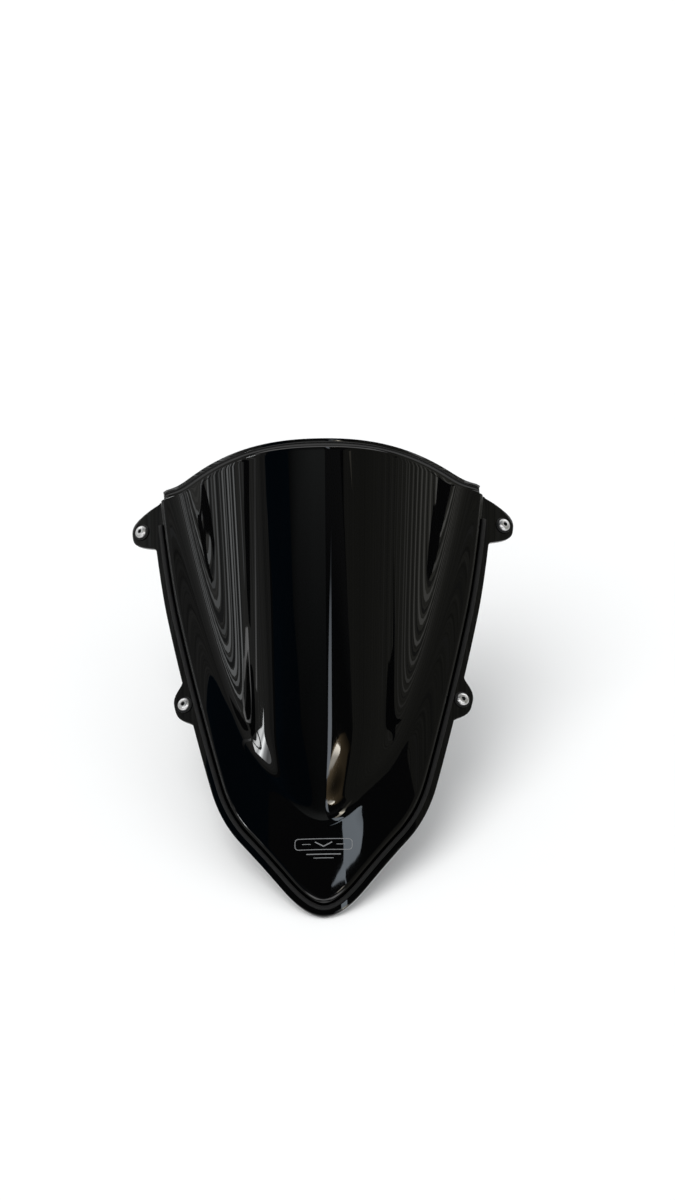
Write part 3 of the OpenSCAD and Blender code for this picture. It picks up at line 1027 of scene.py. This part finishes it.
def level_ramp(tree, value, stops, tint):
    """A colour ramp over an angle, as a share of the highest level, and that level."""
    low, high = stops[0][0], stops[-1][0]
    place = node(tree, "MapRange", {
        "Value": value, "From Min": low, "From Max": high, "To Min": 0.0, "To Max": 1.0})
    ramp = node(tree, "ValToRGB", {"Fac": place.outputs["Result"]})
    top = max(level for _, level in stops)
    elements = ramp.color_ramp.elements
    while len(elements) < len(stops):
        elements.new(0.5)
    for element, (angle, level) in zip(elements, stops):
        element.position = (angle - low) / (high - low)
        element.color = (*(tint[i] * level / top for i in range(3)), 1)
    return ramp.outputs["Color"], top


def glow(name, stops, tint=(1, 1, 1), axis="Y", cross=None, folds=0.0, fold_scale=0.5):
    """Light with levels at stops of one angle, fading across the other, and with folds of cloth."""
    material = bpy.data.materials.new(name)
    material.use_nodes = True
    tree = material.node_tree
    tree.nodes.clear()
    angles = node(tree, "UVMap", uv_map="angles").outputs["UV"]
    parts = node(tree, "SeparateXYZ", {"Vector": angles})
    colour, top = level_ramp(tree, parts.outputs[axis], stops, tint)
    if cross:
        other, share = level_ramp(tree, parts.outputs["Y" if axis == "X" else "X"], cross, (1, 1, 1))
        both = node(tree, "VectorMath", {0: colour, 1: other}, operation="MULTIPLY")
        colour, top = both.outputs["Vector"], top * share
    emission = node(tree, "Emission", {"Color": colour, "Strength": top})
    if folds:
        turn = node(tree, "Math", {0: parts.outputs["X"], 1: fold_scale}, operation="MULTIPLY")
        cloth = node(tree, "TexNoise", {
            "W": turn.outputs["Value"], "Scale": 1.0, "Detail": 3.0, "Roughness": 0.7},
            noise_dimensions="1D")
        tree.links.new(spread(tree, cloth.outputs["Fac"], top * (1 - folds), top * (1 + folds)),
                       emission.inputs["Strength"])
    made = node(tree, "OutputMaterial", {"Surface": emission.outputs["Emission"]})
    made.is_active_output = True
    return material


# Folds of the cloth at each side: angle round, breadth and level of each
LEFT_FOLDS = [
    (-90.4, 0.7, 1.1), (-89.2, 0.6, 0.14), (-87.4, 0.8, 1.4), (-86.3, 0.7, 0.15), (-85.2, 0.6, 0.8),
    (-83.4, 0.8, 1.2), (-82, 1.1, 0.16), (-80.4, 0.6, 0.85), (-79.4, 0.6, 0.15), (-78.3, 0.9, 1.7),
    (-76.9, 0.6, 1), (-76.1, 0.8, 0.15), (-74.9, 1, 2), (-73.2, 0.8, 1.6), (-72.2, 0.7, 0.17),
    (-70.8, 0.9, 2.2), (-69.6, 0.6, 0.2), (-66.4, 0.7, 0.9), (-64.2, 0.6, 0.5), (-61.9, 0.5, 0.42),
    (-59.2, 0.6, 0.42), (-57.8, 0.5, 0.2), (-55, 0.5, 0.34), (-52.6, 0.6, 0.19), (-49.6, 0.5, 0.3),
]
RIGHT_FOLDS = [
    (90.2, 0.6, 0.7), (88.6, 0.6, 0.12), (86.9, 0.8, 1), (85.6, 0.6, 0.12), (84.2, 0.7, 0.7),
    (82.9, 0.5, 0.12), (81.6, 0.7, 0.75), (80.2, 0.5, 0.13), (79.1, 0.7, 0.8), (77.8, 0.5, 0.13),
    (76.5, 0.6, 0.8), (75.1, 0.6, 0.12), (73.8, 0.6, 0.62), (72.4, 0.5, 0.14), (71, 0.6, 0.55),
    (69.2, 0.5, 0.5), (68, 0.4, 0.15), (66.2, 0.5, 0.36), (63.4, 0.5, 0.28), (60.6, 0.5, 0.13),
    (58.6, 0.5, 0.24), (55.8, 0.6, 0.13), (53.2, 0.5, 0.22), (50.2, 0.5, 0.13), (46.9, 0.5, 0.2),
    (43.5, 0.5, 0.12), (39.6, 0.4, 0.17), (34.8, 0.5, 0.105), (30.2, 0.4, 0.155), (25.6, 0.5, 0.1),
]
# Bars of the left window: angle round at the window's far end and at its near end
WINDOW_BARS = [(-59.6, -62), (-57.2, -61.2)]


def lit_card(name, layer, rows, stops, **look):
    card(name, rows, glow(name, stops, **look), layer)


def fold_cards(side, folds, low, tint, layer):
    """Bright and dark folds along the cloth, from an angle in front to one at the back."""
    for number, (at, breadth, level) in enumerate(folds):
        rows = [(back, at - breadth / 2, at + breadth / 2) for back in (low, FOLDS_BACK)]
        stops = [(low, level), (10, level), (FOLDS_BACK, level * 0.6)]
        lit_card(f"{side}_fold_{number}", layer, rows, stops, tint=tint)


def make_room():
    """Dim light from all round, and more of it from the floor below."""
    stops = [(-90, 1.1), (-74, 0.7), (-66, 0.08), (-34, 0.03), (-8, 0.028), (18, 0.05), (23, 0.1),
             (27, 0.8), (50, 1), (66, 0.8), (76, 0.4), (90, 0.25)]
    lit_card("room", 0, [(-90, -180, 180), (90, -180, 180)], stops)
    for side, sign in (("left", -1), ("right", 1)):
        below = sorted((sign * CLOTH_END, sign * 180))
        stops = [(-80, 1.2), (-40, 1.1), (0, 0.6), (30, 1), (80, 0.6)]
        lit_card(f"{side}_bounce", 1, [(-80, *below), (80, *below)], stops)
        box = sorted((sign * 28, sign * 75))
        lit_card(f"{side}_box", 2, [(15, *box), (54, *box)], [(15, 1.8), (30, 2.2), (54, 1.6)])
    # A low strip in front, for the creases and the nose
    stops = [(-60, 1), (-50, 2.4), (-42, 2.4), (-36, 0.5)]
    lit_card("front_strip", 8, [(-60, -78, 78), (-36, -78, 78)], stops)


def make_left_cloth():
    """A pale cloth in folds at the left, with dark gaps and a barred window low in front of it."""
    stops = [(-CLOTH_END, 0.3), (-92, 0.32), (-80, 0.3), (-70, 0.3), (-62, 0.29), (-56, 0.27),
             (-51, 0.235), (-48, 0.15), (-45, 0.19), (-36, 0.2)]
    ends = [(-40, -50), (-24, -48), (-17, -44), (-14, -44), (-5, -41), (-2, -39), (6, -42), (60, -44)]
    rows = [(back, -CLOTH_END, end) for back, end in ends]
    lit_card("left_cloth", 1, rows, stops, tint=(1, 1, 0.95), axis="X", folds=0.42, fold_scale=1.5)
    fold_cards("left", LEFT_FOLDS, -2, (0.96, 0.99, 1), 3)
    rows = [(15.3, -85.6, -85.2), (17.3, -87.2, -86.6), (19.1, -88.9, -88.1), (20.5, -90, -89.4),
            (21.4, -90.8, -90.4)]
    lit_card("left_spear", 5, rows, [(10, 0.02), (30, 0.02)])
    rows = [(-5.7, -65.2, -64.8), (-4.7, -65.8, -65.4), (-3.8, -66.1, -65.5), (-2.3, -68.3, -67.4),
            (-1.6, -69.5, -69), (-0.5, -70.9, -70.4)]
    lit_card("left_rim", 6, rows, [(-5.7, 0.8), (-4, 2.6), (-2, 2), (-0.5, 0.8)])
    rows = [(-8.6, -62.8, -61.9), (-7, -64.2, -62.6), (-6, -65.4, -63.7), (-5, -66.8, -65),
            (-4, -68, -66.1), (-3, -69, -67.5), (-2.4, -69.2, -68.4)]
    lit_card("left_dark", 4, rows, [(-10, 0.012), (-2, 0.012)])
    rows = [(-5.6, -63.2, -57), (-4.4, -64.6, -54), (-3.4, -65, -54.5), (-2.4, -64, -56)]
    lit_card("left_dark_low", 4, rows, [(-10, 0.015), (-2, 0.03)])
    rows = [(-21.3, -58, -52.3), (-19.6, -60, -53.2), (-17.5, -62, -54.7), (-15.3, -63.5, -55.4),
            (-14.2, -64, -55.2), (-13.2, -64, -54.8), (-12.6, -64, -56.2), (-12, -63.8, -57.2),
            (-10.8, -63.5, -59), (-10, -62.8, -60.4), (-9.5, -62, -61.2)]
    stops = [(-21.3, 2.2), (-19, 1.6), (-17, 6), (-15.5, 22), (-14, 8), (-12.8, 14),
             (-11.5, 13), (-10.2, 6), (-9.5, 1.2)]
    lit_card("left_window", 5, rows, stops, tint=(0.97, 0.99, 1))
    for number, (far, near) in enumerate(WINDOW_BARS):
        rows = [(-19, far - BAR_HALF, far + BAR_HALF), (-8.6, near - BAR_HALF, near + BAR_HALF)]
        lit_card(f"window_bar_{number}", 6, rows, [(-19, 0.3), (-8, 0.2)])
    lit_card("left_streak", 5, [(-9.3, -60, -34), (-8.5, -61, -36)],
             [(-61, 1.8), (-55, 0.5), (-48, 0.35), (-41, 0.16), (-36, 0.05)], axis="X")


def make_middle():
    """From left to right over the top: a blue-black gap, a grey ceiling and a black strip."""
    rows = [(-40, -46, -13), (-30.5, -47, -14.5), (-28, -46.5, -18), (-24, -45.5, -21.5),
            (-18, -42, -21), (-15, -44.5, -22), (-9, -45, -20), (-5.5, -45, -22), (-4.3, -41.5, -26),
            (-2.6, -39.5, -31)]
    lit_card("blue_gap", 2, rows, [(-47, 0.062), (-34, 0.04), (-20, 0.05)], axis="X",
             cross=[(-30, 0.5), (-26, 0.6), (-22, 1), (-12, 0.6), (-6, 0.7), (-2, 1)],
             tint=(0.10, 0.52, 1))
    rows = [(-40, -12, 0.6), (-31, -12.5, 0.8), (-28, -17.5, 1.2), (-25.5, -22, 1.6), (-18, -25, 2)]
    stops = [(-34, 0.04), (-31, 0.05), (-29, 0.07), (-28, 0.105), (-26.6, 0.16), (-25.2, 0.23),
             (-18, 0.3)]
    lit_card("ceiling", 3, rows, stops, tint=(0.95, 1, 0.98),
             cross=[(-24, 0.1), (-20, 0.3), (-16, 0.5), (-10, 0.72), (-4, 0.95), (2, 1)])
    rows = [(-40, 0.6, 24), (-30.5, 0.8, 24), (-27.3, 1.3, 23.5), (-26.6, 1.5, 20.5),
            (-26.1, 1.5, 17.8), (-25.6, 1.6, 15.5), (-24.8, 1.6, 13), (-24, 1.6, 11)]
    lit_card("black_strip", 3, rows, [(-32, 0.02), (-28, 0.022), (-26.4, 0.06), (-24, 0.08)])
    rows = [(-30, 2, 24), (-27.3, 2, 23.5), (-26.6, 2, 20.5), (-26.1, 2, 17.8), (-25.6, 3, 15.5),
            (-20, 3, 14), (-16.5, 5, 16)]
    lit_card("black_fillet", 2, rows, [(-30, 0.02), (-16, 0.02)])


def make_lamps():
    """A skylight near the middle, and golden lamps to the right of it."""
    rows = [(-31.1, 1.5, 4), (-30.3, 1.5, 4.2), (-29, 2.4, 4.5), (-28, 3.4, 4.8), (-26.5, 5.2, 5.3)]
    stops = [(-31.3, 3.6), (-30, 3.2), (-29, 2.7), (-28, 1.9), (-27.4, 0.5), (-26.5, 0.12)]
    lit_card("skylight", 5, rows, stops, tint=(0.82, 0.9, 1))
    rows = [(-31.35, 2, 22), (-31.1, 2.2, 22.5), (-30.8, 4.4, 21.6), (-30.5, 6.6, 21.4),
            (-30.2, 10, 21), (-29.9, 12, 22), (-29.4, 16, 24)]
    stops = [(2, 2.6), (6, 2.4), (9, 1.5), (12, 0.8), (16, 0.5), (20, 0.42), (22, 0.2)]
    lit_card("lamp_glow", 4, rows, stops, tint=(1, 0.74, 0.42), axis="X",
             cross=[(-31.35, 0.15), (-31.15, 0.5), (-30.9, 1), (-30.2, 1), (-29.6, 0.4)])
    rows = [(-31.05, 2.4, 7), (-30.85, 4.2, 10.3), (-30.65, 6.4, 12.2), (-30.5, 8, 12.6),
            (-30.4, 9, 12)]
    stops = [(-31.1, 3), (-30.95, 6), (-30.8, 6), (-30.65, 14), (-30.4, 22)]
    lit_card("lamp", 6, rows, stops, tint=(1, 0.94, 0.82))
    rows = [(-23.2, 20, 23), (-21.5, 10.3, 18), (-19.6, 9.2, 13), (-17.8, 4.6, 10.8), (-16.9, 5.6, 8)]
    stops = [(3, 2.2), (8, 4), (10, 14), (12, 4), (15, 0.6), (23, 0.5)]
    lit_card("foot_lamp", 6, rows, stops, tint=(1, 0.93, 0.78), axis="X")


def make_right_cloth():
    """A dimmer cloth in folds at the right, with dark gaps in it."""
    stops = [(10, 0.1), (17, 0.14), (34, 0.13), (44, 0.155), (54, 0.17), (64, 0.19), (72, 0.23),
             (82, 0.27), (92, 0.26), (CLOTH_END, 0.22)]
    fronts = [(-40, 23), (-27.5, 23), (-25, 15), (-22, 14), (-17, 16), (-14, 22), (-6, 22), (60, 22)]
    rows = [(back, start, CLOTH_END) for back, start in fronts]
    lit_card("right_cloth", 1, rows, stops, tint=(1, 0.99, 0.86), axis="X", folds=0.38, fold_scale=1.6)
    fold_cards("right", RIGHT_FOLDS, -14, (1, 0.99, 0.93), 3)
    rows = [(-12.2, 56.7, 57.6), (-11, 57.4, 59.4), (-10, 58.3, 60.7), (-9, 59.7, 61.9),
            (-8, 60.9, 62.8), (-7, 62, 63.6), (-6.3, 61.6, 63.6), (-5.6, 61, 63.3)]
    lit_card("right_dark", 4, rows, [(-13, 0.015), (0, 0.015)])
    rows = [(12.3, 82.8, 83.4), (13.5, 83.6, 84.3), (14.6, 84.4, 85.1), (16.3, 85.6, 86.5),
            (17.5, 86.8, 87.4), (18.4, 87.3, 88.2), (19.4, 88.1, 89), (20.4, 88.8, 89.6),
            (21.5, 89.4, 90.4)]
    lit_card("right_spear", 5, rows, [(10, 0.02), (30, 0.02)])
    rows = [(-16.5, 12, 19), (-14.5, 12.5, 21), (-12.5, 13, 22.5), (-11, 14.5, 24),
            (-9.5, 16.5, 29.5), (-8.4, 22, 30.3), (-8.05, 27, 30)]
    lit_card("right_black", 4, rows, [(-17, 0.02), (-8, 0.028)])


def make_nose_window():
    """A cool window whose reflection bends into a crescent at the nose, and the crescent's tail."""
    rows = [(-18.2, 3.6, 4.8), (-16.5, 3.8, 6), (-15, 4, 6.6), (-14.1, 4.8, 6.9), (-14, 6.2, 6.8),
            (-13.75, 6.4, 6.8), (-13.66, 5.6, 6.2), (-13.5, 5, 6.3), (-13.4, 5.5, 7.2),
            (-13.3, 5.6, 7.9), (-13.1, 5.6, 9.5), (-12.95, 5.4, 10.3), (-12.8, 5, 11.2),
            (-12.6, 5, 11.8), (-12.3, 5.4, 12.4), (-12.1, 6.6, 12.5), (-12, 7.6, 12),
            (-11.95, 8.6, 11.6)]
    stops = [(-18.2, 3), (-14, 3.6), (-13.1, 3.4), (-12.4, 3.6), (-11.9, 2.6)]
    lit_card("nose_window", 5, rows, stops, tint=COOL)
    rows = [(-13.96, 1, 1.8), (-13.88, 2, 3.2), (-13.8, 2.7, 4.4), (-13.7, 3.4, 5.9),
            (-13.6, 4.3, 6.2), (-13.5, 5, 6.2)]
    lit_card("nose_tail", 5, rows, [(-14, 3), (-13.7, 3.6)], tint=COOL)


def make_cards():
    make_room()
    make_left_cloth()
    make_middle()
    make_lamps()
    make_right_cloth()
    make_nose_window()


make_floor()
make_sun()
make_world()
make_cards()
bpy.context.scene.view_settings.view_transform = "Standard"

# ---- Camera ----

CAMERA_AT = Vector((0.0592, -2.0590, 1.3500))
CAMERA_DOWN = radians(33)
CAMERA_YAW = radians(-1.34)
CAMERA_ROLL = radians(1.83)
HALF_VIEW = 0.178
SENSOR = 36.0


def make_camera():
    data = bpy.data.cameras.new("camera")
    data.sensor_width = SENSOR
    data.lens = SENSOR / 2 / HALF_VIEW
    camera = add_object("camera", data)
    look = Vector((sin(CAMERA_YAW) * cos(CAMERA_DOWN),
                   cos(CAMERA_YAW) * cos(CAMERA_DOWN),
                   -sin(CAMERA_DOWN)))
    right = Vector((cos(CAMERA_YAW), -sin(CAMERA_YAW), 0))
    up = right.cross(look)
    turned_right = right * cos(CAMERA_ROLL) - up * sin(CAMERA_ROLL)
    turned_up = right * sin(CAMERA_ROLL) + up * cos(CAMERA_ROLL)
    axes = Matrix((turned_right, turned_up, -look)).transposed()
    camera.matrix_world = Matrix.Translation(CAMERA_AT) @ axes.to_4x4()
    bpy.context.scene.camera = camera


make_camera()
